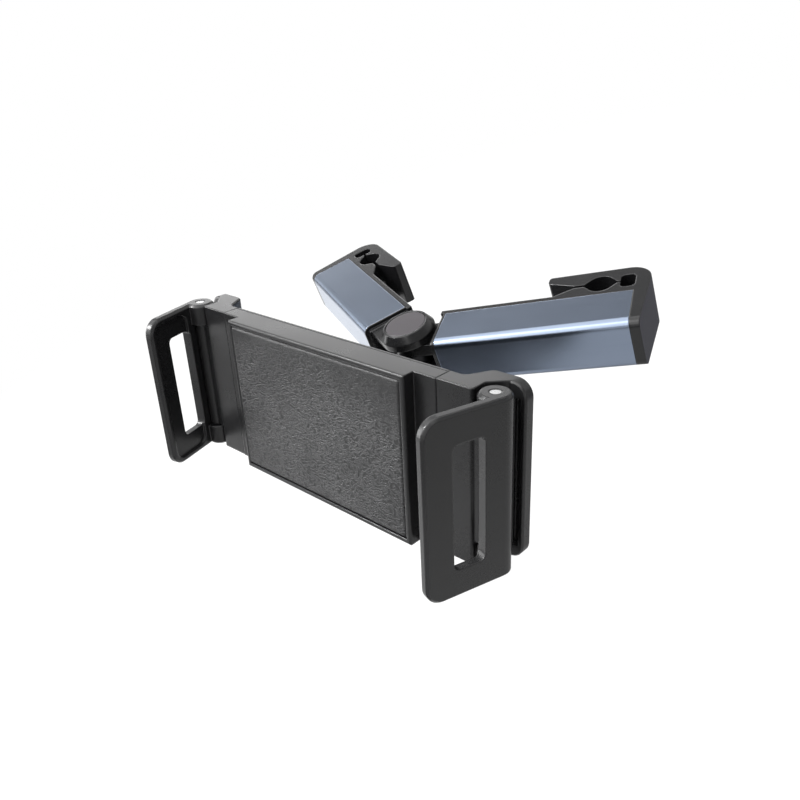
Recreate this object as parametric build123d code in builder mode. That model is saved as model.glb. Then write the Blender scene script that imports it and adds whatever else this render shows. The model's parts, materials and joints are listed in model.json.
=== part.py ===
"""Tablet holder for the back of a car seat.

Two hooked arms hinge on a hub and grip the posts of a headrest. A ball joint on the hub carries a
sprung cradle, whose two sliders open together and hold a tablet between hinged claws.
Millimetres and degrees. +Z runs up the posts, -Y points at the viewer of the tablet, and the origin
is the middle of the left post's seat.
"""
import os
from math import acos, cos, pi, radians, sin, sqrt, tan

from build123d import *

os.makedirs("parts", exist_ok=True)

# Fits
running = 0.05          # radial play of a shaft in its hole
gap = 0.3               # space between pieces that move past each other
seam = 0.15             # joint line between pieces that are fixed together

# Rest pose, all in degrees
left_swing = 27         # angle at which each arm points back from the hub's cross line
right_swing = 21        # degrees
cradle_pitch = -18.8    # degrees at the ball joint, about X: negative turns the tablet up
cradle_roll = 5.6       # degrees at the ball joint, about the cradle's own normal
claw_lean = 17.5        # angle by which the claws close over the tablet, in degrees

# Arms
arm_height = 22
arm_front = 15.5        # hub axis to the front of the arm
arm_root = 14.5         # hub axis to where the core's bar starts
end_wall = 6            # relief slot to the end of the arm
end_slant = 5           # slant of the arm's end, in degrees
flange_t = 0.8          # flange of the core against the cover's inner end
cover_start = 17
cover_end = 96.5
cover_back = 6.6        # hub axis to the cover's rear edges
cover_wall = 1.5
cover_round = 3.5
core_back = 9.1         # hub axis to the core's rear wall
cover_screw_reach = (34, 80)
cover_screw_d = 3
cover_screw_head_d = 5.6
cover_screw_length = 8

# Hooks
post_d = 11.2
seat_reach = 83         # hub axis to the post, along the arm and square to it
seat_back = 14.5
eye_half = 7.3          # half the length of the seat's pointed eye
hook_back = 24.3        # hub axis to the outside of the finger
hook_round = 9
finger_start = 60.5     # hub axis to the finger's tip
finger_tip = 4.6        # thickness of the finger's tip
mouth_start = 64        # where the mouth's ramp leaves the core
neck_reach = 72
neck_width = 1.8
relief_reach = 94
relief_length = 6
relief_width = 9
relief_round = 2
slit_width = 1.2

# Hub
ear_r = 12.5
ear_t = 5
cone_top_r = 10.3       # cone on the upper ear, with a rim round the cap
cone_t = 3.5
knuckle_r = 8.5
bolt_d = 5
bolt_head_d = 9
bolt_head_t = 2.2
bolt_pocket = 3         # depth of the pocket for the bolt's head
nut_width = 8           # across the flats
nut_t = 3
washer_r = 8
washer_t = 0.4
cap_r = 9.2
cap_t = 1.5
cap_edge = 0.3
cap_spigot = 0.6

# Ball joint
ball_d = 17
ball_reach = 37.8       # hub axis to the ball's centre
ball_drop = 2.5         # arm's middle plane down to the ball's centre
stem_d = 7.6
stem_end = 14           # hub axis to the end of the round stem
stem_overlap = 3        # how far the flat tongue runs into the stem
tongue_width = 9        # flat tongue between the stem and its knuckle
liner_r = 10.7
liner_front = 10.8      # ball's centre to the liner's closed end
liner_back = 4          # ball's centre to the liner's open end
liner_slit = 1
collar_wall = 2
collar_rim = 1          # ball's centre forward to the collar's rim
ring_r = 16.5
ring_front = 7.5        # ball's centre to the ring's two ends
ring_back = 6.6
ring_mouth = 8.2
ring_edge = 0.8
ring_grips = 12
ring_grip_r = 1.6

# Cradle body
standoff = 14           # ball's centre to the body's rear face
body_half = 60
body_height = 70.4
body_t = 8.8
body_edge = 0.8
block_half = 50         # raised block that carries the pad
block_t = 5.4
front_wall = 1.6
side_wall = 2
lid_t = 1.8
pad_rim = 2
pad_t = 2.2
pad_groove = 0.4
pad_edge = 0.8
boss_r = 3.2
body_screw_d = 2.4
body_screw_head_d = 4.8
body_screw_length = 6.2
body_screws = ((50, 0), (-50, 0), (53, 22), (-53, -22))

# Sliders
bar_end = 75.5          # cradle's middle to where the bar turns back
bar_inset = 0.2         # bar's step below the body's faces
bar_turn = 1.3          # how far the bar's end runs back before it slants
guide_t = 4.4           # flat guide that carries the rack
guide_inner = 9.4       # root of the rack, from the cradle's middle line
guide_outer = 30
bend_start = 66
bend_end = 71.5
bend_round = 3
bar_round = 1.2         # front corner of the bar's end
shield_out = 88
shield_in = 81.3
shield_front = 9.7      # ball's centre forward to the shield's two faces
shield_back = 4.7
shield_round = 6
shield_edge = 0.6       # chamfer round the shield
shield_rim = 2.2
shield_recess = 1.6

# Rack and pinion
module = 1
teeth = 16
pressure = 20           # pressure angle of the teeth
backlash = 0.3
rack_before = 14        # rack teeth on each side of the pinion at rest
rack_after = 3
rack_tip = 0.9          # rack's addendum
pinion_root = 1.25      # pinion's dedendum
post_r = 3              # post that the pinion turns on
pinion_t = 4.4
sleeve_r = 4.3
well_r = 14             # well for the spring in front of the pinion
well_depth = 3
spring_t = 0.5
spring_width = 2.3
spring_turns = 3
spring_pitch = 2.3
spring_stop = 3         # width of the rib that holds the spring's outer end

# Claws
pin_x = 82.7            # cradle's middle to the hinge pin
pin_front = 19.6        # ball's centre forward to the hinge pin
pin_d = 4
eye_r = 4               # slider's eye round the pin
web_t = 4.4             # web between the bar and the eye
barrel_r = 6
claw_length = 32
claw_t = 4.4
claw_height = 70.4
claw_tip_round = 7
claw_edge = 1           # chamfer of the claw's edges
claw_ear = 9.5
window_start = 8
window_width = 13
window_height = 48
window_round = 2.5
panel_margin = 2.6
panel_depth = 1.2

# Places worked out from the sizes above
half_arm = arm_height / 2
arm_reach = relief_reach + relief_length / 2 + end_wall
hub_x = seat_reach * cos(radians(left_swing)) - seat_back * sin(radians(left_swing))
hub_y = -seat_reach * sin(radians(left_swing)) - seat_back * cos(radians(left_swing))
hub = Location((hub_x, hub_y, 0))
ball_centre = (hub_x, hub_y - ball_reach, -ball_drop)
cradle = Location(ball_centre, (cradle_pitch, cradle_roll, 0))
half_body = body_height / 2
half_claw = claw_height / 2
body_front = standoff + body_t
pad_face = body_front + block_t
lid_front = standoff + lid_t
bolt_r = bolt_d / 2
collar_r = liner_r + gap + collar_wall

# Stack of knuckles on the hub's bolt, from the upper ear down
ear_inner = half_arm - ear_t
cone_bottom = half_arm + cap_t - cone_t
knuckle_t = ear_inner - (3 * washer_t + 6 * running) / 2
right_bottom = ear_inner - washer_t - 2 * running - knuckle_t
stem_bottom = right_bottom - washer_t - 2 * running - knuckle_t
washer_bottoms = [z - running - washer_t for z in (ear_inner, right_bottom, stem_bottom)]

# Each arm's frame, with X along the arm and Y to its back, and the frame of its underside
arms = (
    ("left", hub * Location((0, 0, 0), (0, 180, 0)) * Location((0, 0, 0), (0, 0, left_swing)), 0),
    ("right", hub * Location((0, 0, 0), (0, 0, right_swing)), 180),
)
# Each half of the cradle, with X outwards: the left one is the right one turned about the normal
halves = (
    ("left", cradle * Location((0, 0, 0), (0, 180, 0))),
    ("right", cradle),
)


def placed(frame, plane):
    """Carry a plane from a frame's own axes into the model."""
    return Plane(frame * plane.location)


def depth(distance):
    """Plane square to the cradle's normal, this far in front of the ball's centre."""
    return placed(cradle, Plane.XZ.offset(distance))


def finish(piece, name):
    """Name a piece and write it."""
    piece.part.label = name
    export_step(piece.part, f"parts/{name}.step")


def arm_section(front, back, half_height, corner):
    """Draw the arm's cross-section, square at the back and rounded at the front."""
    with Locations(((back - front) / 2, 0)):
        Rectangle(front + back, 2 * half_height)
    fillet(vertices().group_by(Axis.X)[0], corner)


def hub_disc(bottom, height, radius, mode=Mode.ADD):
    """Add or cut a disc about the hub's bolt."""
    with BuildSketch(placed(hub, Plane.XY.offset(bottom))) as disc:
        Circle(radius)
    extrude(disc.sketch, amount=height, mode=mode)


def countersunk_screw(shank_d, head_d, length):
    """Add a countersunk screw that points down from the current location."""
    top = (Align.CENTER, Align.CENTER, Align.MAX)
    Cylinder(shank_d / 2, length, align=top)
    Cone(shank_d / 2, head_d / 2, (head_d - shank_d) / 2, align=top)


# Arms: a plastic core with its hook, an aluminium cover, and the screws under it
inner_wall = cover_wall + seam
inner_round = cover_round - inner_wall
screw_row = (cover_back - arm_front) / 2
seat_r = post_d / 2
seat_tangent = seat_r**2 / eye_half
seat_flank = seat_r * sqrt(1 - (seat_r / eye_half) ** 2)
for side, arm, turn in arms:
    under = arm * Location((0, 0, 0), (turn, 0, 0)) * Location((0, 0, half_arm))
    row = screw_row * cos(radians(turn))
    screw_places = [under * Location((reach, row, 0)) for reach in cover_screw_reach]

    with BuildPart() as core:
        with BuildSketch(placed(arm, Plane.YZ.offset(arm_root))):
            arm_section(arm_front - inner_wall, cover_back + seam, half_arm - inner_wall, inner_round)
        extrude(amount=cover_end + seam - arm_root)
        with BuildSketch(placed(arm, Plane.YZ.offset(cover_start - seam))):
            arm_section(arm_front, core_back, half_arm, cover_round)
        extrude(amount=-flange_t)
        with BuildSketch(placed(arm, Plane.YZ.offset(cover_end + seam))):
            arm_section(arm_front, core_back, half_arm, cover_round)
        extrude(amount=arm_reach - cover_end + hook_round)
        with BuildSketch(placed(arm, Plane.XY.offset(-half_arm))):
            with BuildLine():
                Polyline(
                    (arm_root, cover_back + seam),
                    (arm_root, core_back),
                    (mouth_start, core_back),
                    (neck_reach, seat_back - neck_width / 2),
                    (neck_reach, seat_back + neck_width / 2),
                    (finger_start, hook_back - finger_tip),
                    (finger_start, hook_back),
                    (arm_reach + hook_round, hook_back),
                    (arm_reach + hook_round, cover_back + seam),
                    close=True,
                )
            make_face()
            tip = (finger_start, hook_back - finger_tip / 2)
            fillet(vertices().sort_by_distance(tip)[:2], finger_tip / 3)
        extrude(amount=arm_height)
        end_face = placed(arm * Location((arm_reach, seat_back, 0), (0, 0, -end_slant)), Plane.YZ)
        split(bisect_by=end_face, keep=Keep.BOTTOM)
        outward = placed(arm * Location((0, 0, 0), (0, 0, 45)), Plane.YZ)
        far_corner = edges().filter_by(Axis.Z).sort_by(Axis(outward.origin, outward.z_dir))[-1]
        fillet(far_corner, hook_round)
        # Seat of the post: a round hole drawn to a point at both ends, a slit each way and a relief
        with BuildSketch(placed(arm, Plane.XY)):
            with Locations((seat_reach, seat_back)):
                Circle(seat_r)
                Polygon(
                    (-eye_half, 0),
                    (-seat_tangent, -seat_flank),
                    (seat_tangent, -seat_flank),
                    (eye_half, 0),
                    (seat_tangent, seat_flank),
                    (-seat_tangent, seat_flank),
                    align=None,
                )
            with Locations(((neck_reach + seat_reach - gap) / 2, seat_back)):
                Rectangle(seat_reach - neck_reach + gap, neck_width)
            with Locations(((seat_reach + relief_reach) / 2, seat_back)):
                Rectangle(relief_reach - seat_reach, slit_width)
            with Locations((relief_reach, seat_back)):
                RectangleRounded(relief_length, relief_width, relief_round)
        extrude(amount=arm_height, both=True, mode=Mode.SUBTRACT)
        if side == "left":
            # The left arm's frame is upside down, so the upper ear comes first
            for bottom, top in ((-cone_bottom, -ear_inner), (ear_inner, half_arm)):
                with BuildSketch(placed(arm, Plane.XY.offset(bottom))):
                    Circle(ear_r)
                    with Locations(((cover_start - seam) / 2, (core_back - ear_r) / 2)):
                        Rectangle(cover_start - seam, core_back + ear_r)
                extrude(amount=top - bottom)
            with Locations(hub * Location((0, 0, cone_bottom))):
                Cone(ear_r, cone_top_r, cone_t, align=(Align.CENTER, Align.CENTER, Align.MIN))
            hub_disc(half_arm, cap_t, cap_r + seam, Mode.SUBTRACT)
            hub_disc(half_arm - bolt_pocket, bolt_pocket, bolt_head_d / 2 + gap, Mode.SUBTRACT)
            with BuildSketch(placed(hub, Plane.XY.offset(-half_arm))):
                RegularPolygon(nut_width / 2 + running, 6, major_radius=False)
            extrude(amount=nut_t + gap, mode=Mode.SUBTRACT)
        else:
            with BuildSketch(placed(arm, Plane.XY.offset(right_bottom))):
                Circle(knuckle_r)
                with Locations(((arm_root + seam) / 2, 0)):
                    Rectangle(arm_root + seam, 2 * knuckle_r)
            extrude(amount=knuckle_t)
        hub_disc(-half_arm, arm_height, bolt_r + running, Mode.SUBTRACT)
        with Locations(*screw_places):
            Hole(cover_screw_d / 2 + running, cover_screw_length + gap)
    finish(core, f"{side}_arm_core")

    with BuildPart() as cover:
        with BuildSketch(placed(arm, Plane.YZ.offset(cover_start))):
            arm_section(arm_front, cover_back, half_arm, cover_round)
        extrude(amount=cover_end - cover_start)
        with BuildSketch(placed(arm, Plane.YZ.offset(cover_start))):
            arm_section(
                arm_front - cover_wall,
                cover_back + cover_wall,
                half_arm - cover_wall,
                cover_round - cover_wall,
            )
        extrude(amount=cover_end - cover_start, mode=Mode.SUBTRACT)
        with Locations(*screw_places):
            CounterSinkHole(
                cover_screw_d / 2 + running,
                cover_screw_head_d / 2 + running,
                cover_wall + gap,
                counter_sink_angle=90,
            )
    finish(cover, f"{side}_arm_cover")

    with BuildPart() as cover_screws:
        with Locations(*screw_places):
            countersunk_screw(cover_screw_d, cover_screw_head_d, cover_screw_length)
    finish(cover_screws, f"{side}_cover_screws")

# Hub: bolt, nut, washers and cap
with BuildPart() as pivot_bolt:
    hub_disc(half_arm - bolt_pocket, bolt_head_t, bolt_head_d / 2)
    hub_disc(gap - half_arm, arm_height - bolt_pocket - gap, bolt_r)
finish(pivot_bolt, "pivot_bolt")

with BuildPart() as pivot_nut:
    with BuildSketch(placed(hub, Plane.XY.offset(gap - half_arm))):
        RegularPolygon(nut_width / 2, 6, major_radius=False)
        Circle(bolt_r + running, mode=Mode.SUBTRACT)
    extrude(amount=nut_t)
finish(pivot_nut, "pivot_nut")

with BuildPart() as hub_washers:
    for bottom in washer_bottoms:
        with BuildSketch(placed(hub, Plane.XY.offset(bottom))):
            Circle(washer_r)
            Circle(bolt_r + running, mode=Mode.SUBTRACT)
        extrude(amount=washer_t)
finish(hub_washers, "hub_washers")

with BuildPart() as hub_cap:
    hub_disc(half_arm, cap_t, cap_r)
    chamfer(edges().group_by(Axis.Z)[-1], cap_edge)
    hub_disc(half_arm - cap_spigot, cap_spigot, bolt_head_d / 2 + gap - running)
finish(hub_cap, "hub_cap")

# Ball joint: stem with its ball, slit liner, and lock ring
with BuildPart() as ball_stem:
    with Locations(ball_centre):
        Sphere(ball_d / 2)
    with BuildSketch(Plane(ball_centre, x_dir=(1, 0, 0), z_dir=(0, 1, 0))):
        Circle(stem_d / 2)
    extrude(amount=ball_reach - stem_end)
    with BuildSketch(placed(hub, Plane.XY.offset(stem_bottom))):
        Circle(knuckle_r)
        with Locations((0, -(stem_end + stem_overlap) / 2)):
            Rectangle(tongue_width, stem_end + stem_overlap)
    extrude(amount=knuckle_t)
    hub_disc(stem_bottom, knuckle_t, bolt_r + running, Mode.SUBTRACT)
finish(ball_stem, "ball_stem")

with BuildPart() as ball_liner:
    with BuildSketch(depth(-liner_back)):
        Circle(liner_r)
    extrude(amount=liner_front + liner_back)
    with Locations(cradle):
        Sphere(ball_d / 2 + gap, mode=Mode.SUBTRACT)
    with BuildSketch(depth(-liner_back)):
        with PolarLocations(0, 2, angular_range=180):
            Rectangle(3 * liner_r, liner_slit)
    extrude(amount=liner_back, mode=Mode.SUBTRACT)
finish(ball_liner, "ball_liner")

with BuildPart() as lock_ring:
    with BuildSketch(depth(-ring_back)):
        Circle(ring_r)
    extrude(amount=ring_front + ring_back)
    chamfer(edges().filter_by(GeomType.CIRCLE), ring_edge)
    with BuildSketch(depth(-ring_back)):
        with PolarLocations(ring_r, ring_grips):
            Circle(ring_grip_r)
    extrude(amount=ring_front + ring_back, mode=Mode.SUBTRACT)
    with BuildSketch(depth(-ring_back)):
        Circle(ring_mouth)
    extrude(amount=ring_back, mode=Mode.SUBTRACT)
    with BuildSketch(depth(-liner_back - gap)):
        Circle(liner_r + gap)
    extrude(amount=ring_front + ring_back, mode=Mode.SUBTRACT)
    with BuildSketch(depth(collar_rim - gap)):
        Circle(collar_r + gap)
    extrude(amount=ring_front + ring_back, mode=Mode.SUBTRACT)
finish(lock_ring, "lock_ring")

# Cradle body: shell with the raised block, leather pad, lid with the ball's collar, and screws
tooth_pitch = pi * module
pitch_r = module * teeth / 2
guide_end = rack_before * tooth_pitch + side_wall
cavity_front = body_front - front_wall
well_floor = cavity_front + well_depth
guide_front = cavity_front - gap
guide_back = guide_front - guide_t
pinion_back = guide_back
spring_start = sleeve_r + spring_t + gap
spring_end = spring_start + spring_turns * spring_pitch
stop_start = spring_end + spring_t / 2 + gap
screw_backs = [cradle * Location((x, -standoff, z), (-90, 0, 0)) for x, z in body_screws]

with BuildPart() as front_shell:
    with BuildSketch(depth(lid_front)):
        Rectangle(2 * body_half, body_height)
    extrude(amount=body_t - lid_t)
    with BuildSketch(depth(body_front)):
        Rectangle(2 * block_half, body_height)
    extrude(amount=block_t)
    normal = Axis(ball_centre, depth(0).z_dir)
    fillet(edges().group_by(normal)[-1], body_edge)
    with BuildSketch(depth(pad_face)):
        Rectangle(2 * (block_half - pad_rim), body_height - 2 * pad_rim)
    extrude(amount=-pad_t, mode=Mode.SUBTRACT)
    with BuildSketch(depth(lid_front)):
        Rectangle(2 * (body_half - side_wall), body_height - 2 * side_wall)
    extrude(amount=cavity_front - lid_front, mode=Mode.SUBTRACT)
    with BuildSketch(depth(cavity_front)):
        Circle(well_r)
    extrude(amount=well_depth, mode=Mode.SUBTRACT)
    with BuildSketch(depth(lid_front)):
        for sign in (1, -1):
            with Locations((sign * (body_half - side_wall / 2), -sign * (guide_inner + guide_outer) / 2)):
                Rectangle(2 * side_wall, guide_outer - guide_inner + 2 * gap)
    extrude(amount=cavity_front - lid_front, mode=Mode.SUBTRACT)
    with BuildSketch(depth(lid_front)):
        with Locations(*body_screws):
            Circle(boss_r)
    extrude(amount=cavity_front - lid_front)
    with BuildSketch(depth(pinion_back)):
        Circle(post_r)
    extrude(amount=well_floor - pinion_back)
    with BuildSketch(depth(cavity_front)):
        with Locations(((stop_start + well_r + front_wall) / 2, 0)):
            Rectangle(well_r + front_wall - stop_start, spring_stop)
    extrude(amount=well_depth)
    with Locations(*screw_backs):
        Hole(body_screw_d / 2 + running, body_screw_length + gap)
finish(front_shell, "front_shell")

with BuildPart() as leather_pad:
    with BuildSketch(depth(pad_face - pad_t)):
        Rectangle(2 * (block_half - pad_rim - pad_groove), body_height - 2 * pad_rim - 2 * pad_groove)
    extrude(amount=pad_t)
    fillet(edges().group_by(normal)[-1], pad_edge)
finish(leather_pad, "leather_pad")

with BuildPart() as back_lid:
    with BuildSketch(depth(standoff)):
        Rectangle(2 * body_half, body_height)
    extrude(amount=lid_t)
    fillet(edges().group_by(normal)[0], body_edge)
    with BuildSketch(depth(collar_rim)):
        Circle(collar_r)
    extrude(amount=standoff - collar_rim + lid_t)
    with BuildSketch(depth(collar_rim)):
        Circle(liner_r + gap)
    extrude(amount=liner_front + gap - collar_rim, mode=Mode.SUBTRACT)
    with Locations(*screw_backs):
        CounterSinkHole(
            body_screw_d / 2 + running, body_screw_head_d / 2 + running, lid_t + gap, counter_sink_angle=90
        )
finish(back_lid, "back_lid")

with BuildPart() as lid_screws:
    with Locations(*screw_backs):
        countersunk_screw(body_screw_d, body_screw_head_d, body_screw_length)
finish(lid_screws, "lid_screws")

# Pinion with involute teeth, and the spiral spring that draws the sliders in
base_r = pitch_r * cos(radians(pressure))
tooth_half = (tooth_pitch / 2 - backlash) / 2


def involute(radius):
    """Involute function at this radius."""
    angle = acos(min(1, base_r / radius))
    return tan(angle) - angle


def flank_point(radius, hand):
    """Point on one flank of the tooth that points along X."""
    angle = tooth_half / pitch_r + involute(pitch_r) - involute(radius)
    return (radius * cos(angle), hand * radius * sin(angle))


root_r = pitch_r - pinion_root * module
flank = (root_r, base_r, pitch_r, pitch_r + module / 2, pitch_r + module)
with BuildPart() as pinion:
    with BuildSketch(depth(pinion_back)):
        Circle(root_r)
        with PolarLocations(0, teeth):
            Polygon(
                (0, 0),
                *[flank_point(r, -1) for r in flank],
                *[flank_point(r, 1) for r in reversed(flank)],
                align=None,
            )
        Circle(post_r + running, mode=Mode.SUBTRACT)
    extrude(amount=pinion_t)
    with BuildSketch(depth(pinion_back + pinion_t)):
        Circle(sleeve_r)
        Circle(post_r + running, mode=Mode.SUBTRACT)
    extrude(amount=well_floor - gap - pinion_back - pinion_t)
finish(pinion, "pinion")

with BuildPart() as return_spring:
    with BuildSketch(depth(well_floor - gap - spring_width)):
        with BuildLine():
            step = spring_pitch / 2
            for half_turn in range(2 * spring_turns):
                centre = (step * (half_turn % 2), 0)
                start = 180 * (half_turn % 2)
                radius = spring_start + half_turn * step
                CenterArc(centre, radius - spring_t / 2, start, 180)
                CenterArc(centre, radius + spring_t / 2, start, 180)
            for end in (spring_start, spring_end):
                Line((end - spring_t / 2, 0), (end + spring_t / 2, 0))
        make_face()
    extrude(amount=spring_width)
finish(return_spring, "return_spring")

# Sliders, claws and their hinge pins
knuckle_half = half_claw - claw_ear
rack_half = tooth_half - rack_tip * module * tan(radians(pressure))
rack_root_half = tooth_half + (guide_inner - pitch_r) * tan(radians(pressure))
rack_top = pitch_r - rack_tip * module
for side, half in halves:
    outward = Axis(half.position, placed(half, Plane.YZ).z_dir)
    with BuildPart() as slider:
        with BuildSketch(placed(half, Plane.XY.offset(-half_body))):
            with BuildLine():
                Polyline(
                    (body_half + seam, -body_front + bar_inset),
                    (bar_end, -body_front + bar_inset),
                    (bar_end, -standoff - bar_turn),
                    (shield_in, -shield_front),
                    (shield_out, -shield_front),
                    (shield_out, -shield_back),
                    (bend_end, -shield_back),
                    (bend_start, -standoff - bar_inset),
                    (body_half + seam, -standoff - bar_inset),
                    close=True,
                )
            make_face()
            bend = vertices().sort_by_distance((bend_end, -shield_back))[0]
            hollow = vertices().sort_by_distance((bend_start, -standoff))[0]
            fillet([bend, hollow], bend_round)
            bar_corner = vertices().sort_by_distance((bar_end, bar_inset - body_front))[0]
            fillet(bar_corner, bar_round)
        extrude(amount=body_height)
        corners = edges().filter_by(Axis((0, 0, 0), normal.direction)).group_by(outward)[-1]
        fillet(corners, shield_round)
        upward = Axis((0, 0, 0), placed(half, Plane.XY).z_dir)
        chamfer(edges().filter_by(upward).group_by(outward)[-1], shield_edge)
        with BuildSketch(placed(half, Plane.XZ.offset(shield_front))):
            with Locations(((shield_in + shield_out) / 2, 0)):
                Rectangle(shield_out - shield_in - 2 * shield_rim, body_height - 2 * shield_round)
        extrude(amount=-shield_recess, mode=Mode.SUBTRACT)
        with BuildSketch(placed(half, Plane.XY.offset(-knuckle_half + gap))):
            with Locations((pin_x, -pin_front)):
                Circle(eye_r)
            with Locations(((bar_end - seam + pin_x) / 2, -pin_front)):
                Rectangle(pin_x - bar_end + seam, web_t)
        extrude(amount=2 * (knuckle_half - gap))
        with BuildSketch(placed(half, Plane.XY.offset(-half_body))):
            with Locations((pin_x, -pin_front)):
                Circle(pin_d / 2 + running)
        extrude(amount=body_height, mode=Mode.SUBTRACT)
        with BuildSketch(placed(half, Plane.XZ.offset(guide_back))):
            with Locations(((body_half + 2 * seam - guide_end) / 2, -(guide_inner + guide_outer) / 2)):
                Rectangle(guide_end + body_half + 2 * seam, guide_outer - guide_inner)
            for tooth in range(-rack_before, rack_after):
                with Locations(((tooth + 0.5) * tooth_pitch, 0)):
                    Polygon(
                        (-rack_root_half, -guide_inner),
                        (rack_root_half, -guide_inner),
                        (rack_half, -rack_top),
                        (-rack_half, -rack_top),
                        align=None,
                    )
        extrude(amount=guide_t)
    finish(slider, f"{side}_slider")

    hinge = half * Location((pin_x, -pin_front, 0), (0, 0, -claw_lean))
    with BuildPart() as claw:
        with BuildSketch(placed(hinge, Plane.XY.offset(-half_claw))):
            with Locations((barrel_r - claw_t / 2, -claw_length / 2)):
                Rectangle(claw_t, claw_length)
        extrude(amount=claw_height)
        across = Axis((0, 0, 0), placed(hinge, Plane.YZ).z_dir)
        along = Axis(hinge.position, placed(hinge, Plane.XZ).z_dir)
        fillet(edges().filter_by(across).group_by(along)[-1], claw_tip_round)
        chamfer(edges().filter_by(across, reverse=True) - edges().group_by(along)[0], claw_edge)
        with BuildSketch(placed(hinge, Plane.YZ.offset(barrel_r - claw_t))):
            with Locations((-(barrel_r + claw_length) / 2, 0)):
                RectangleRounded(
                    claw_length - barrel_r - 2 * panel_margin,
                    claw_height - 2 * panel_margin,
                    claw_tip_round - panel_margin,
                )
        extrude(amount=panel_depth, mode=Mode.SUBTRACT)
        with BuildSketch(placed(hinge, Plane.XZ)):
            with Locations((barrel_r / 2, 0)):
                Rectangle(barrel_r, claw_height)
            chamfer(vertices().group_by(Axis.X)[-1], claw_edge)
        revolve(axis=Axis(hinge.position, placed(hinge, Plane.XY).z_dir))
        # The slider's eye sits behind a skin that carries the claw's outer face round the barrel
        with BuildSketch(placed(hinge, Plane.XY.offset(-knuckle_half))):
            Circle(eye_r + gap)
            with Locations((barrel_r - claw_t, 0)):
                Rectangle(2 * barrel_r, 3 * barrel_r, align=(Align.MAX, Align.CENTER))
        extrude(amount=2 * knuckle_half, mode=Mode.SUBTRACT)
        with BuildSketch(placed(hinge, Plane.YZ)):
            with Locations((-window_start - window_width / 2, 0)):
                RectangleRounded(window_width, window_height, window_round)
        extrude(amount=2 * barrel_r, mode=Mode.SUBTRACT)
        with BuildSketch(placed(hinge, Plane.XY.offset(-half_claw))):
            Circle(pin_d / 2 + running)
        extrude(amount=claw_height, mode=Mode.SUBTRACT)
    finish(claw, f"{side}_claw")

    with BuildPart() as hinge_pin:
        with BuildSketch(placed(hinge, Plane.XY.offset(-half_claw + seam))):
            Circle(pin_d / 2)
        extrude(amount=claw_height - 2 * seam)
    finish(hinge_pin, f"{side}_hinge_pin")
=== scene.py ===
"""Looks of the tablet holder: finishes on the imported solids, the leather pad, screw drives and studio."""
import json
import math

import bmesh
import bpy
from mathutils import Matrix, Vector, noise


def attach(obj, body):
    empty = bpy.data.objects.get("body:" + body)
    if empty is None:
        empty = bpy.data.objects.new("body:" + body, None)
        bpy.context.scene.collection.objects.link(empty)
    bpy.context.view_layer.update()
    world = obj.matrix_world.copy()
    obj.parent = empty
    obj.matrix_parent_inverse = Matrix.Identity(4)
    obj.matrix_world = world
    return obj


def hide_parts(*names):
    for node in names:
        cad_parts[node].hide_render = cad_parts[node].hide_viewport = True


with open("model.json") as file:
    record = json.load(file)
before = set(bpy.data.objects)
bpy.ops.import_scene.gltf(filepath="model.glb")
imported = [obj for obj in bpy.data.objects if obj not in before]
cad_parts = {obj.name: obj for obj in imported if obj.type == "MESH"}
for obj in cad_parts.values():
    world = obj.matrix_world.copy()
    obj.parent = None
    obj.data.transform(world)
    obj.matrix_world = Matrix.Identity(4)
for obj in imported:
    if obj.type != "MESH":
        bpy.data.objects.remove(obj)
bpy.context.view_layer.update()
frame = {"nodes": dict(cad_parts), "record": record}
scene = bpy.context.scene
MM = 0.001

# Places and sizes repeated from the solids, in millimetres and degrees
LEFT_SWING = 27
RIGHT_SWING = 21
SEAT_REACH = 83
SEAT_BACK = 14.5
BALL_FORWARD = 37.8
BALL_DROP = 2.5
CRADLE_PITCH = -18.8
CRADLE_ROLL = 5.6
PAD_FACE = 28.2
PAD_WIDTH = 95.2
PAD_HEIGHT = 65.6
PAD_THICKNESS = 2.2
LID_FORWARD = 14
LID_SCREWS = ((50, 0), (-50, 0), (53, 22), (-53, -22))
LID_SCREW_SIZE = {"shank_d": 2.4, "head_d": 4.8, "length": 6.2}
HALF_ARM = 11
COVER_SCREW_REACH = (34, 80)
COVER_SCREW_ROW = {"left": -4.45, "right": 4.45}
COVER_SCREW_SIZE = {"shank_d": 3, "head_d": 5.6, "length": 8}


def turned(angle, axis):
    """Turn by an angle in degrees about an axis."""
    return Matrix.Rotation(math.radians(angle), 4, axis)


def moved(x, y, z):
    """Move by millimetres along X, Y and Z."""
    return Matrix.Translation(Vector((x, y, z)) * MM)


swing_sine = math.sin(math.radians(LEFT_SWING))
swing_cosine = math.cos(math.radians(LEFT_SWING))
HUB = Vector((
    SEAT_REACH * swing_cosine - SEAT_BACK * swing_sine,
    -SEAT_REACH * swing_sine - SEAT_BACK * swing_cosine,
    0,
))
BALL = HUB + Vector((0, -BALL_FORWARD, -BALL_DROP))

# The cradle's own axes: X to the right, Y to the back, Z up
cradle_turn = turned(CRADLE_PITCH, "X") @ turned(CRADLE_ROLL, "Y")
cradle_place = moved(*BALL) @ cradle_turn

# Sockets of a Mix node, by number because its kinds share their names
FLOAT_A = 2
FLOAT_B = 3
COLOUR_A = 6
COLOUR_B = 7
COLOUR_RESULT = 2


class Tap:
    """A socket that a node gives out, with arithmetic that adds Math nodes."""

    def __init__(self, maker, socket):
        self.maker = maker
        self.socket = socket

    def _maths(self, operation, first, second):
        return self.maker.node("ShaderNodeMath", {"operation": operation}, {0: first, 1: second})

    def __add__(self, other):
        return self._maths("ADD", self, other)

    __radd__ = __add__

    def __mul__(self, other):
        return self._maths("MULTIPLY", self, other)

    __rmul__ = __mul__

    def __sub__(self, other):
        return self._maths("SUBTRACT", self, other)

    def __rsub__(self, other):
        return self._maths("SUBTRACT", other, self)

    def __pow__(self, other):
        return self._maths("POWER", self, other)


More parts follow.
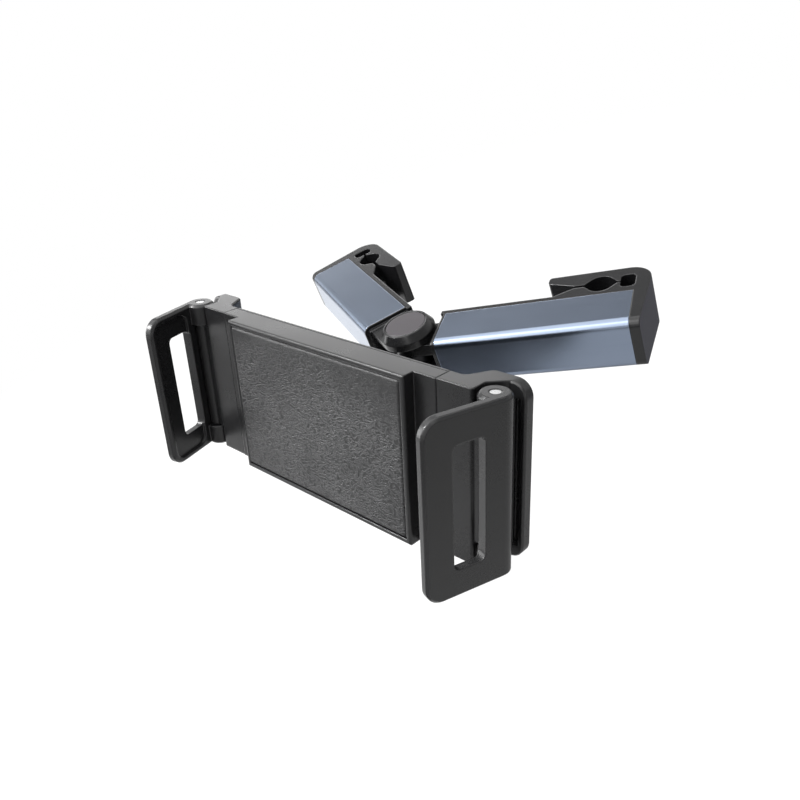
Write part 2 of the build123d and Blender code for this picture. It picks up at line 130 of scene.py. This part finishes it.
class NodeMaker:
    """Adds nodes to the node tree of a material or of the world."""

    def __init__(self, tree):
        self.tree = tree

    def feed(self, socket, value):
        """Set a socket to a value or link a tap to it."""
        if isinstance(value, Tap):
            self.tree.links.new(value.socket, socket)
        else:
            socket.default_value = value

    def node(self, kind, settings=None, inputs=None, output=0):
        """Add any node: its settings first, then the values or links of its sockets."""
        added = self.tree.nodes.new(kind)
        for key, value in (settings or {}).items():
            setattr(added, key, value)
        for key, value in (inputs or {}).items():
            self.feed(added.inputs[key], value)
        return Tap(self, added.outputs[output])

    def ranged(self, value, start, end, low, high):
        """Map values from start to end onto low to high, and hold them there outside."""
        return self.node(
            "ShaderNodeMapRange",
            inputs={"Value": value, "From Min": start, "From Max": end, "To Min": low, "To Max": high},
        )

    def mix_number(self, factor, first, second):
        return self.node("ShaderNodeMix", inputs={"Factor": factor, FLOAT_A: first, FLOAT_B: second})


class Finish(NodeMaker):
    """A material under construction, with its Principled shader."""

    def __init__(self, name):
        self.material = bpy.data.materials.new(name)
        self.material.use_nodes = True
        super().__init__(self.material.node_tree)
        self.tree.nodes.clear()
        self.shader = self.tree.nodes.new("ShaderNodeBsdfPrincipled")
        self.output = self.tree.nodes.new("ShaderNodeOutputMaterial")
        self.tree.links.new(self.shader.outputs[0], self.output.inputs["Surface"])

    def surface(self, **values):
        """Set the shader's own sockets, with underscores for spaces."""
        for key, value in values.items():
            self.feed(self.shader.inputs[key.replace("_", " ").title().replace("Ior", "IOR")], value)
        return self.material

    def object_coords(self, turn=(0, 0, 0)):
        """Object coordinates, turned by angles in degrees."""
        coords = self.node("ShaderNodeTexCoord", output="Object")
        angles = tuple(math.radians(angle) for angle in turn)
        return self.node("ShaderNodeMapping", inputs={"Vector": coords, "Rotation": angles})

    def stretched(self, coords, scale):
        return self.node("ShaderNodeMapping", inputs={"Vector": coords, "Scale": scale})

    def noise(self, coords, scale=1, detail=2, roughness=0.5, output=0):
        return self.node(
            "ShaderNodeTexNoise",
            inputs={"Vector": coords, "Scale": scale, "Detail": detail, "Roughness": roughness},
            output=output,
        )

    def distance(self, coords, point):
        operation = {"operation": "DISTANCE"}
        return self.node("ShaderNodeVectorMath", operation, {0: coords, 1: point}, output="Value")

    def mix_colour(self, factor, dark, light):
        """Blend two colours. A factor over 1 goes past the light one."""
        return self.node(
            "ShaderNodeMix",
            {"data_type": "RGBA", "clamp_factor": False},
            {"Factor": factor, COLOUR_A: (*dark, 1), COLOUR_B: (*light, 1)},
            output=COLOUR_RESULT,
        )

    def bump(self, height, distance, strength, normal=None):
        inputs = {"Height": height, "Distance": distance, "Strength": strength}
        if normal is not None:
            inputs["Normal"] = normal
        return self.node("ShaderNodeBump", inputs=inputs)

    def soft_edges(self, radius):
        """Normal that is rounded along the edges."""
        return self.node("ShaderNodeBevel", {"samples": 8}, {"Radius": radius})

    def worn_and_highlit_edges(self, rounded):
        """Mask that is 1 along the edges, where the rounded normal leaves the face's own. The finishes use
        it for rubbed wear and to lighten the edges' colour as a painted highlight.
        """
        face = self.node("ShaderNodeNewGeometry", output="Normal")
        operation = {"operation": "DOT_PRODUCT"}
        likeness = self.node("ShaderNodeVectorMath", operation, {0: rounded, 1: face}, output="Value")
        return self.ranged(likeness, start=0.995, end=0.88, low=0.0, high=1.0)


def moulded_plastic(name, dark, light, gloss, edge=0.6 * MM):
    """Moulded plastic with a fine grain, a slightly uneven sheen and rubbed edges, whose colour is also
    lightened there as a painted highlight.
    """
    finish = Finish(name)
    coords = finish.object_coords()
    cloud = finish.noise(coords, scale=45, detail=3)
    grain = finish.noise(coords, scale=2600)
    rounded = finish.soft_edges(edge)
    wear_and_painted_highlight = finish.worn_and_highlit_edges(rounded) * (0.4 + 0.6 * cloud)
    return finish.surface(
        # The edge mask lightens the colour along the edges as a painted highlight, and makes them glossier
        # as rubbed wear
        base_color=finish.mix_colour(cloud * 0.6 + wear_and_painted_highlight * 1.4, dark, light),
        roughness=gloss + 0.12 * cloud + 0.06 * grain - 0.16 * wear_and_painted_highlight,
        specular_ior_level=0.45,
        normal=finish.bump(grain, distance=0.05 * MM, strength=0.1, normal=rounded),
    )


def satin_aluminium(name, arm_angle):
    """Anodised aluminium with a fine grain and drawn lines along the arm, its edges lightened in colour as a
    painted highlight.
    """
    finish = Finish(name)
    along = finish.object_coords((0, 0, -arm_angle))
    lines = finish.noise(finish.stretched(along, (40, 5200, 5200)), detail=3, roughness=0.6)
    streaks = finish.noise(finish.stretched(along, (12, 700, 700)))
    cloud = finish.noise(along, scale=30)
    grain = finish.noise(along, scale=2400)
    rounded = finish.soft_edges(0.4 * MM)
    # Tone from lines, streaks and cloud, plus the edge mask as a painted highlight along the edges
    tone = lines * 0.45 + streaks * 0.15 + cloud * 0.4 + finish.worn_and_highlit_edges(rounded) * 0.3
    return finish.surface(
        base_color=finish.mix_colour(tone, dark=(0.170, 0.203, 0.270), light=(0.300, 0.355, 0.450)),
        metallic=1.0,
        roughness=0.18 + 0.08 * lines + 0.05 * cloud,
        normal=finish.bump(lines * 0.6 + grain * 0.8, distance=0.03 * MM, strength=0.24, normal=rounded),
    )


def turned_steel(name, tone, rough):
    """Turned steel with a fine uneven tone."""
    finish = Finish(name)
    fine = finish.noise(finish.object_coords(), scale=1500, detail=3)
    rounded = finish.soft_edges(0.3 * MM)
    return finish.surface(
        base_color=finish.mix_colour(fine, dark=tuple(0.85 * channel for channel in tone), light=tone),
        metallic=1.0,
        roughness=rough + 0.12 * fine,
        normal=finish.bump(fine, distance=0.03 * MM, strength=0.3, normal=rounded),
    )


def creased_leather(name):
    """Dark leather with short wavy wrinkles along the pad, which fade out towards its top. Its colour is
    lighter on the raised wrinkles as a painted highlight, so it also darkens towards the top.
    """
    finish = Finish(name)
    along = finish.object_coords((-CRADLE_PITCH, -CRADLE_ROLL, 0))
    drift = finish.noise(along, scale=230, output="Color")
    drift_reach = (2 * MM, 2 * MM, 2 * MM)
    operation = {"operation": "MULTIPLY_ADD"}
    bent = finish.node("ShaderNodeVectorMath", operation, {0: drift, 1: drift_reach, 2: along})
    swing = finish.noise(finish.stretched(bent, (330, 720, 720)), detail=3) * 2 - 1
    wrinkles = (1 - finish.node("ShaderNodeMath", {"operation": "ABSOLUTE"}, {0: swing}) * 2.4) ** 2
    cloud = finish.noise(along, scale=42, detail=3)
    pores = finish.noise(along, scale=2400)
    # Most worked, and most lit by the wrinkles' painted highlight, a little below the pad's middle, over a
    # wide and low oval
    oval = Vector((0.7, 0, 1.1))
    most_worked_and_highlit = cradle_turn.inverted() @ (BALL * MM) + Vector((-2, 0, -14)) * MM
    reach = finish.distance(finish.stretched(along, oval), oval * most_worked_and_highlit)
    patches = finish.ranged(cloud, start=0.34, end=0.60, low=0.45, high=1.0)
    worked_and_highlit = patches * finish.ranged(reach, start=26 * MM, end=56 * MM, low=1.0, high=0.15)
    creases = wrinkles * worked_and_highlit
    height = creases + pores * 0.25
    # Colour lighter on the raised wrinkles: a painted highlight on their ridges
    tone = height * 0.6 + cloud * 0.1
    return finish.surface(
        base_color=finish.mix_colour(tone, dark=(0.012, 0.012, 0.0125), light=(0.066, 0.066, 0.068)),
        specular_ior_level=0.36,
        roughness=0.34 + 0.08 * worked_and_highlit - 0.18 * creases + 0.05 * cloud,
        normal=finish.bump(height, distance=0.45 * MM, strength=1.0),
    )


finishes = {
    "black_plastic": moulded_plastic(
        "black moulded plastic",
        dark=(0.008, 0.008, 0.0085),
        light=(0.020, 0.020, 0.021),
        gloss=0.20,
        edge=0.9 * MM,
    ),
    "cap_plastic": moulded_plastic(
        "cap plastic", dark=(0.034, 0.030, 0.034), light=(0.058, 0.052, 0.058), gloss=0.40
    ),
    "washer_plastic": moulded_plastic(
        "washer plastic", dark=(0.5, 0.5, 0.48), light=(0.6, 0.6, 0.58), gloss=0.45
    ),
    "inner_plastic": moulded_plastic(
        "inner plastic", dark=(0.06, 0.06, 0.06), light=(0.09, 0.09, 0.09), gloss=0.38
    ),
    "bright_steel": turned_steel("bright steel", tone=(0.66, 0.66, 0.66), rough=0.22),
    "pad_leather": creased_leather("creased leather"),
}
arm_plastic = {
    "dark": (0.005, 0.005, 0.0055),
    "light": (0.013, 0.013, 0.014),
    "gloss": 0.16,
    "edge": 0.7 * MM,
}
# Finishes of single nodes, in place of their slot's
own_finishes = {
    "ball_stem": turned_steel("blackened steel", tone=(0.045, 0.045, 0.047), rough=0.32),
    "left_arm_core": moulded_plastic("left arm plastic", **arm_plastic),
    "right_arm_core": moulded_plastic("right arm plastic", **arm_plastic),
    "left_arm_cover": satin_aluminium("satin aluminium left", 180 - LEFT_SWING),
    "right_arm_cover": satin_aluminium("satin aluminium right", RIGHT_SWING),
}


def dress(piece, material):
    piece.data.materials.clear()
    piece.data.materials.append(material)


for entry in frame["record"]["subparts"]:
    node_name = entry["node"]
    dress(frame["nodes"][node_name], own_finishes.get(node_name) or finishes[entry["material_slot"]])


def new_object(name, mesh):
    """Make a bmesh an object at the origin, with its place in its mesh."""
    data = bpy.data.meshes.new(name)
    mesh.to_mesh(data)
    mesh.free()
    made = bpy.data.objects.new(name, data)
    scene.collection.objects.link(made)
    return made


def new_piece(name, mesh, place, body, slot):
    """Make a bmesh a piece of the holder that rides on a body."""
    mesh.transform(place)
    bmesh.ops.recalc_face_normals(mesh, faces=mesh.faces)
    piece = new_object(name, mesh)
    dress(piece, finishes[slot])
    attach(piece, body)
    return piece


def points_of(geometry):
    return [item for item in geometry if isinstance(item, bmesh.types.BMVert)]


def open_edges(mesh):
    return [edge for edge in mesh.edges if edge.is_boundary]


# Leather pad: faces of its grid, then its rolled edges and its relief in millimetres
PAD_COLUMNS = 150
PAD_ROWS = 104
ROLL_WIDTH = 0.9
ROLL_DROP = 0.75
LEFT_REACH = 0.33
LEFT_DROP = 0.04
CREASE_DEPTH = 0.05
SWELL_DEPTH = 0.08
# Sunk by both depths, so that the relief stays under the solid's face
FACE_SINK = CREASE_DEPTH + SWELL_DEPTH
# Noise of the relief: scales per metre, and the level at which each is read
CREASE_SCALE = (420, 900)
CREASE_LEVEL = 3.1
SWELL_SCALE = 60
SWELL_LEVEL = 7.7


def leather_pad():
    """Pad with rolled edges, soft swells and creases, bonded into the block's recess."""
    mesh = bmesh.new()
    bmesh.ops.create_grid(mesh, x_segments=PAD_COLUMNS, y_segments=PAD_ROWS, size=0.5)
    bmesh.ops.scale(mesh, vec=(PAD_WIDTH * MM, PAD_HEIGHT * MM, 1), verts=mesh.verts)
    half = Vector((PAD_WIDTH * MM / 2, PAD_HEIGHT * MM / 2))
    for vert in mesh.verts:
        x = vert.co.x
        y = vert.co.y
        # Rolled over at three edges, and drawn out to the recess's wall at the left one
        roll = max(0.0, 1 - min(half.x - x, half.y - abs(y)) / (ROLL_WIDTH * MM))
        left = max(0.0, 1 - (half.x + x) / (ROLL_WIDTH * MM))
        crease = noise.noise(Vector((x * CREASE_SCALE[0], y * CREASE_SCALE[1], CREASE_LEVEL)))
        swell = noise.noise(Vector((x * SWELL_SCALE, y * SWELL_SCALE, SWELL_LEVEL)))
        relief = (1 - roll) * (1 - left) * (CREASE_DEPTH * crease + SWELL_DEPTH * swell - FACE_SINK)
        vert.co.z = (relief - ROLL_DROP * roll ** 2 - LEFT_DROP * left ** 2) * MM
        vert.co.x -= LEFT_REACH * MM * left
    skirt = bmesh.ops.extrude_edge_only(mesh, edges=open_edges(mesh))["geom"]
    for vert in points_of(skirt):
        vert.co.z = -PAD_THICKNESS * MM
    bmesh.ops.holes_fill(mesh, edges=open_edges(mesh), sides=0)
    # The grid's own X, Y and Z go to the cradle's right, up and front
    face = Matrix(((1, 0, 0, 0), (0, 0, -1, -PAD_FACE * MM), (0, 1, 0, 0), (0, 0, 0, 1)))
    piece = new_piece("leather_pad_skin", mesh, cradle_place @ face, "cradle", "pad_leather")
    for polygon in piece.data.polygons:
        polygon.use_smooth = True
    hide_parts("leather_pad")


leather_pad()

# Screws, as shares of the head's diameter
RECESS_HALF_LENGTH = 0.28
RECESS_HALF_WIDTH = 0.075
RECESS_DEPTH = 0.16
RIM_HEIGHT = 0.03
# The recess's floor as a share of its mouth, and the head's flat as a share of the head
RECESS_TAPER = 0.75
HEAD_FLAT = 0.96
# The tip, as shares of the shank's radius
TIP_LENGTH = 0.5
TIP_RADIUS = 0.55
SCREW_SIDES = 40


def drawn_out(mesh, edges, scale, rise):
    """Extrude a ring of edges, scale it about the Z axis, raise it and give its new edges."""
    points = points_of(bmesh.ops.extrude_edge_only(mesh, edges=edges)["geom"])
    bmesh.ops.scale(mesh, vec=(scale, scale, 1), verts=points)
    bmesh.ops.translate(mesh, vec=(0, 0, rise), verts=points)
    ring = set(points)
    return [edge for edge in mesh.edges if ring.issuperset(edge.verts)]


def cross_drive_screw(shank_d, head_d, length):
    """Countersunk screw with a cross recess, the middle of its head's face at the origin."""
    head = head_d / 2
    shank = shank_d / 2
    half_length = RECESS_HALF_LENGTH * head_d
    half_width = RECESS_HALF_WIDTH * head_d
    recess = RECESS_DEPTH * head_d
    mesh = bmesh.new()
    # Floor of the recess: three by three faces without those in the corners
    bmesh.ops.create_grid(mesh, x_segments=3, y_segments=3, size=half_length)
    corners = [face for face in mesh.faces if min(map(abs, face.calc_center_median().xy)) > half_width]
    bmesh.ops.delete(mesh, geom=corners, context="FACES")
    for vert in mesh.verts:
        for axis in (0, 1):
            if abs(vert.co[axis]) < half_length / 2:
                vert.co[axis] = math.copysign(half_width, vert.co[axis])
    bmesh.ops.scale(mesh, vec=(RECESS_TAPER, RECESS_TAPER, 1), verts=mesh.verts)
    bmesh.ops.translate(mesh, vec=(0, 0, -recess), verts=mesh.verts)
    mouth = drawn_out(mesh, open_edges(mesh), 1 / RECESS_TAPER, recess)
    # Flat of the head round the mouth, then its rim and cone, the shank and the tip
    radius = HEAD_FLAT * head
    height = 0
    circle = set(bmesh.ops.create_circle(mesh, segments=SCREW_SIDES, radius=radius)["verts"])
    ring = [edge for edge in mesh.edges if circle.issuperset(edge.verts)]
    bmesh.ops.triangle_fill(mesh, edges=mouth + ring, use_beauty=True, normal=(0, 0, 1))
    rings = (
        (head, -RIM_HEIGHT * head_d),
        (shank, shank - head),
        (shank, TIP_LENGTH * shank - length),
        (TIP_RADIUS * shank, -length),
    )
    for next_radius, next_height in rings:
        ring = drawn_out(mesh, ring, next_radius / radius, next_height - height)
        radius = next_radius
        height = next_height
    bmesh.ops.contextual_create(mesh, geom=ring)
    bmesh.ops.scale(mesh, vec=(MM, MM, MM), verts=mesh.verts)
    return mesh


def screw_set(node, body, places, size):
    """Screws of one size at several places, as one piece in place of a node."""
    mesh = cross_drive_screw(**size)
    first = mesh.verts[:] + mesh.edges[:] + mesh.faces[:]
    for place in places[1:]:
        copy = bmesh.ops.duplicate(mesh, geom=first)["geom"]
        bmesh.ops.transform(mesh, matrix=place, verts=points_of(copy))
    bmesh.ops.transform(mesh, matrix=places[0], verts=points_of(first))
    piece = new_piece(f"{node}_cross_drive", mesh, Matrix.Identity(4), body, "bright_steel")
    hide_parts(node)


lid_places = [cradle_place @ moved(x, -LID_FORWARD, z) @ turned(-90, "X") for x, z in LID_SCREWS]
screw_set("lid_screws", "cradle", lid_places, LID_SCREW_SIZE)
# Arms seen from below: X along the arm from the hub, Z down
arm_places = {
    "left": moved(*HUB) @ turned(180, "Y") @ turned(LEFT_SWING, "Z"),
    "right": moved(*HUB) @ turned(RIGHT_SWING, "Z") @ turned(180, "X"),
}
for side, arm_place in arm_places.items():
    cover_places = [arm_place @ moved(reach, COVER_SCREW_ROW[side], HALF_ARM) for reach in COVER_SCREW_REACH]
    screw_set(f"{side}_cover_screws", f"{side}_arm", cover_places, COVER_SCREW_SIZE)

# Studio, in metres: the floor lies well below the part, which hangs by its posts
MIDDLE = (0.068, -0.06, 0.0)
FLOOR_LEVEL = -0.16
FLOOR_HALF = 30
SHADOW_CENTRE = (0.07, -0.06, FLOOR_LEVEL)
CARD_LEVEL = -0.155
# Tone of the floor, which counts twice to the camera, and strengths of the world
FLOOR_TONE = 0.45
BACKDROP = 1.0
CEILING = 0.4
FILL = 0.24


def pale_floor():
    """White floor that keeps the part's soft shadow and fades to plain white away from it."""
    finish = Finish("pale floor")
    distance = finish.distance(finish.object_coords(), SHADOW_CENTRE)
    camera_ray = finish.node("ShaderNodeLightPath", output="Is Camera Ray")
    finish.surface(base_color=FLOOR_TONE + FLOOR_TONE * camera_ray, roughness=0.9)
    glow = finish.node("ShaderNodeEmission", inputs={"Strength": 1.0})
    plain = camera_ray * finish.ranged(distance, start=0.15, end=0.7, low=0.75, high=1.0)
    shadowed = Tap(finish, finish.shader.outputs[0])
    blended = finish.node("ShaderNodeMixShader", inputs={0: plain, 1: shadowed, 2: glow})
    finish.feed(finish.output.inputs["Surface"], blended)
    return finish.material


floor_shape = bmesh.new()
bmesh.ops.create_grid(floor_shape, x_segments=1, y_segments=1, size=FLOOR_HALF)
bmesh.ops.translate(floor_shape, vec=(0, 0, FLOOR_LEVEL), verts=floor_shape.verts)
floor = new_object("floor", floor_shape)
dress(floor, pale_floor())


def dark_card(name, corners, tone):
    """Dark card low over the floor that shows in reflections alone."""
    shape = bmesh.new()
    shape.faces.new([shape.verts.new((x, y, CARD_LEVEL)) for x, y in corners])
    card = new_object(name, shape)
    card.visible_camera = False
    card.visible_diffuse = False
    card.visible_shadow = False
    dark = (0.7 * tone, 0.7 * tone, 0.8 * tone)
    light = (tone, tone, 1.15 * tone)
    dress(card, moulded_plastic(name, dark, light, gloss=0.9))


dark_card("front_card", [(0.135, -0.205), (-0.06, -0.3), (-0.06, -0.52), (0.135, -0.52)], tone=0.012)
dark_card("back_card", [(0.45, 0.1), (0.45, 0.6), (0.0, 0.6), (0.0, 0.1)], tone=0.15)


def studio_world():
    """White to the camera. Reflections see a white backdrop under a grey ceiling, and the fill is low."""
    world = bpy.data.worlds.new("studio")
    scene.world = world
    world.use_nodes = True
    sky = NodeMaker(world.node_tree)
    direction = sky.node("ShaderNodeTexCoord", output="Generated")
    height = sky.node("ShaderNodeSeparateXYZ", inputs={"Vector": direction}, output="Z")
    room = sky.ranged(height, start=0.25, end=0.5, low=BACKDROP, high=CEILING)
    glossy_ray = sky.node("ShaderNodeLightPath", output="Is Glossy Ray")
    camera_ray = sky.node("ShaderNodeLightPath", output="Is Camera Ray")
    strength = sky.mix_number(camera_ray, sky.mix_number(glossy_ray, FILL, room), 1.0)
    background = world.node_tree.nodes["Background"]
    sky.feed(background.inputs["Color"], (1, 1, 1, 1))
    sky.feed(background.inputs["Strength"], strength)


studio_world()


def soft_box(name, place, size, power, aim=MIDDLE):
    """Rectangular lamp turned to its aim, its size in metres and its power in watts."""
    data = bpy.data.lights.new(name, "AREA")
    data.shape = "RECTANGLE"
    data.size, data.size_y = size
    data.energy = power
    lamp = bpy.data.objects.new(name, data)
    lamp.location = place
    lamp.rotation_euler = (Vector(aim) - Vector(place)).to_track_quat("-Z", "Y").to_euler()
    lamp.visible_camera = False
    scene.collection.objects.link(lamp)


soft_box("top box", place=(0.02, 0.05, 0.85), size=(1.7, 1.3), power=13)
soft_box("front box", place=(-0.02, -0.52, 0.62), size=(1.1, 0.7), power=5.6)
soft_box("key box", place=(-0.39, -0.40, 0.76), size=(0.2, 0.2), power=6)
soft_box("left box", place=(-0.8, -0.4, 0.3), size=(0.5, 0.6), power=5)
soft_box("back box", place=(-0.62, 0.56, 0.13), size=(0.7, 0.16), power=0.78)
soft_box("left kicker", place=(-0.27, 0.04, -0.15), size=(0.3, 0.3), power=0.14, aim=(-0.27, 0.04, 0.0))

# Camera at the photo's angle: its place in millimetres, and the directions of its own axes
CAMERA_PLACE = (297.45, -245.65, 175.89)
CAMERA_RIGHT = Vector((0.73055, 0.59916, -0.32758))
CAMERA_UP = Vector((-0.16469, 0.62015, 0.76700))
CAMERA_BACK = Vector((0.66271, -0.50638, 0.55172))
camera_data = bpy.data.cameras.new("camera")
camera_data.sensor_fit = "HORIZONTAL"
camera_data.sensor_width = 36
camera_data.lens = 34.97
camera = bpy.data.objects.new("camera", camera_data)
camera_turn = Matrix((CAMERA_RIGHT, CAMERA_UP, CAMERA_BACK)).transposed().to_4x4()
camera.matrix_world = moved(*CAMERA_PLACE) @ camera_turn
scene.collection.objects.link(camera)
scene.camera = camera
scene.view_settings.view_transform = "Standard"
